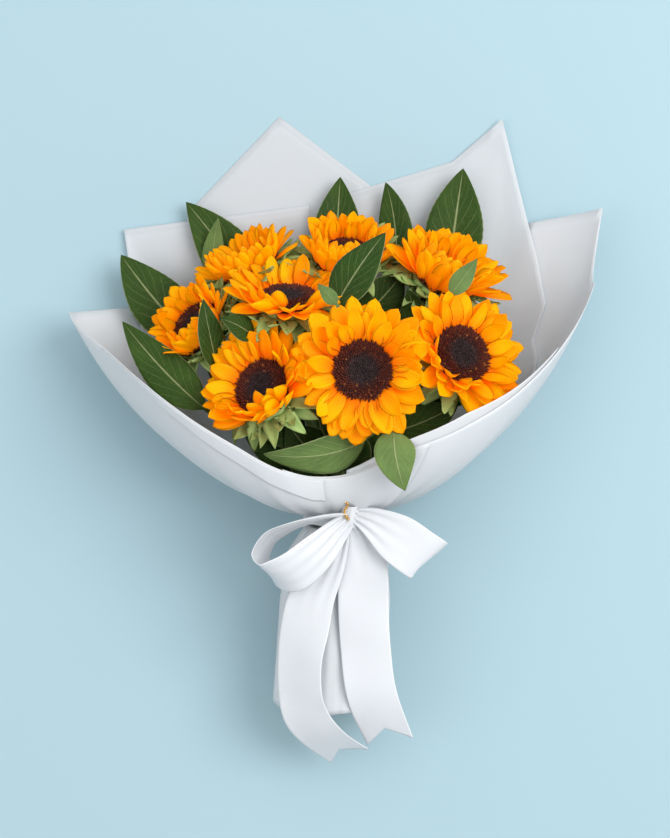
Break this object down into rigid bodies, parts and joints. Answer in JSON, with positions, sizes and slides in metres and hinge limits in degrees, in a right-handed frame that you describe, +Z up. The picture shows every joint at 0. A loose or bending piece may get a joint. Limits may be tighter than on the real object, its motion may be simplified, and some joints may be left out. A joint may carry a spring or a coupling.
{
  "type": "bunch of sunflowers",
  "caption": "Tied bunch of sunflowers with leaves, in white florist's wrap with a white satin bow, lying on its back.",
  "frame": {"origin": "middle of the bunch's box, on the surface that it lies on", "axes": "+Y from the cut stems to the flowers, +X to the right seen from the front, +Z up, out of the bunch's front"},
  "size_m": [0.5458, 0.667, 0.2061],
  "materials": {
    "petal": "satin",
    "floret_disc": "matte",
    "bract": "matte",
    "stem": "matte",
    "leaf": "satin",
    "wrap": "translucent matte",
    "ribbon": "satin sheen",
    "twine": "matte",
    "wire": "polished"
  },
  "bodies": {
    "root": {"bow_wire": "wire", "flower_1_calyx": "bract", "flower_1_disc": "floret_disc", "flower_1_petals": "petal", "flower_1_stem": "stem", "flower_2_calyx": "bract", "flower_2_disc": "floret_disc", "flower_2_petals": "petal", "flower_2_stem": "stem", "flower_3_calyx": "bract", "flower_3_disc": "floret_disc", "flower_3_petals": "petal", "flower_3_stem": "stem", "flower_4_calyx": "bract", "flower_4_disc": "floret_disc", "flower_4_petals": "petal", "flower_4_stem": "stem", "flower_5_calyx": "bract", "flower_5_disc": "floret_disc", "flower_5_petals": "petal", "flower_5_stem": "stem", "flower_6_calyx": "bract", "flower_6_disc": "floret_disc", "flower_6_petals": "petal", "flower_6_stem": "stem", "flower_7_calyx": "bract", "flower_7_disc": "floret_disc", "flower_7_petals": "petal", "flower_7_stem": "stem", "flower_8_calyx": "bract", "flower_8_disc": "floret_disc", "flower_8_petals": "petal", "flower_8_stem": "stem", "leaf_back_left": "leaf", "leaf_back_left_inner": "leaf", "leaf_back_left_small": "leaf", "leaf_back_middle": "leaf", "leaf_back_right": "leaf", "leaf_back_right_inner": "leaf", "leaf_centre": "leaf", "leaf_centre_small": "leaf", "leaf_front_curl": "leaf", "leaf_front_hanging": "leaf", "leaf_left_inner": "leaf", "leaf_left_lower": "leaf", "leaf_left_rim": "leaf", "leaf_right_small": "leaf", "ribbon_knot": "ribbon", "ribbon_loop_left": "ribbon", "ribbon_loop_right": "ribbon", "ribbon_tail_left": "ribbon", "ribbon_tail_right": "ribbon", "ribbon_waist": "ribbon", "stem_binding": "twine", "wrap_back": "wrap", "wrap_back_left": "wrap", "wrap_handle": "wrap", "wrap_left": "wrap", "wrap_right": "wrap", "wrap_right_tall": "wrap"}
  },
  "joints": []
}
